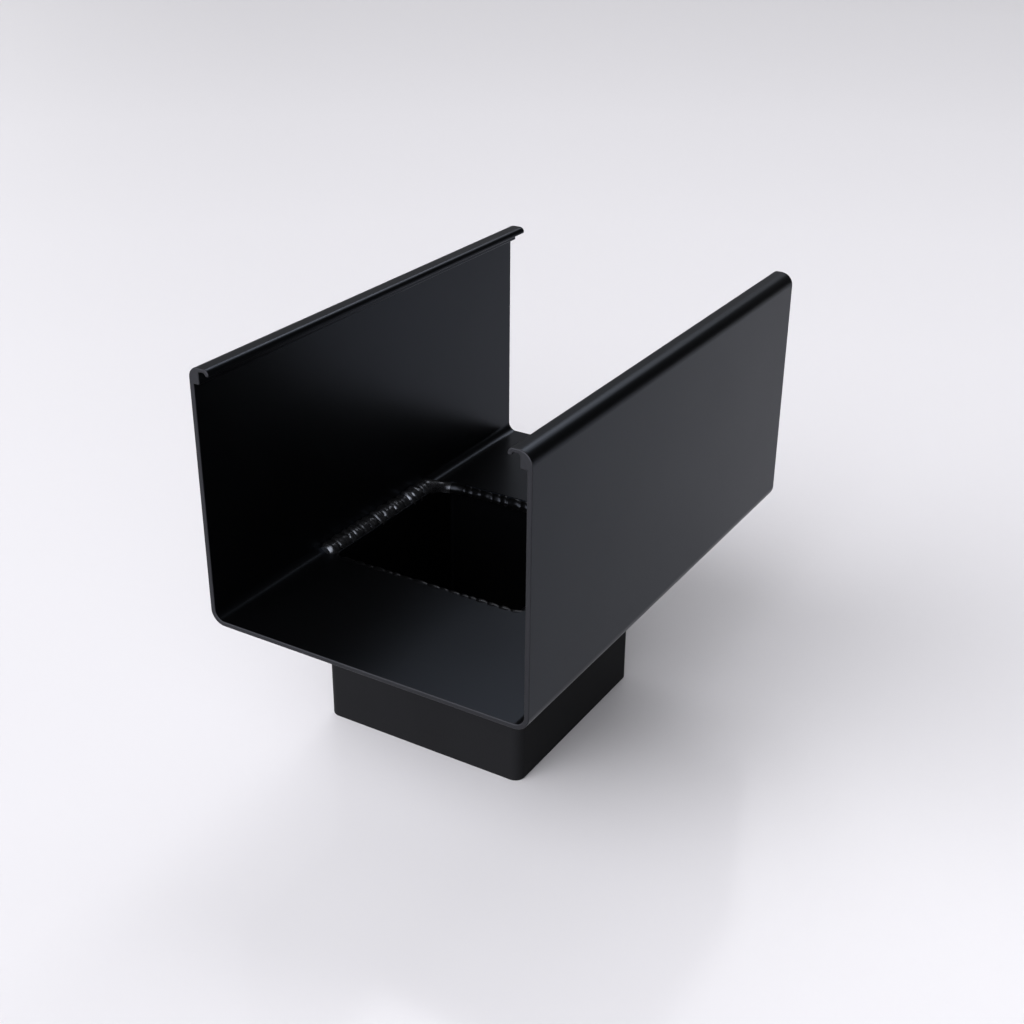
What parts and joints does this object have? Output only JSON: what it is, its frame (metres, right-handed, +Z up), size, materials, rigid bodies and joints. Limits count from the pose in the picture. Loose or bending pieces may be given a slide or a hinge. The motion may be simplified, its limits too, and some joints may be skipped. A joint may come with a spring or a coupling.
{
  "type": "box gutter outlet",
  "caption": "Short open-ended length of box gutter with hooked rims and a square spigot welded into its floor, to lead rainwater into a downpipe.",
  "frame": {"origin": "on the ground under the middle of the channel, at the level of the spigot's foot", "axes": "+Z up out of the trough, +Y along the gutter, +X from the back wall, which the spigot is set against, to the front wall"},
  "size_m": [0.125, 0.192, 0.159],
  "materials": {
    "black_powder_coat": "satin black powder coat with a fine texture",
    "coated_weld": "the same black powder coat over a rippled weld, a little glossier on its crests"
  },
  "bodies": {
    "root": {"gutter_channel": "black_powder_coat", "outlet_spigot": "black_powder_coat", "weld_bead": "coated_weld"}
  },
  "joints": []
}
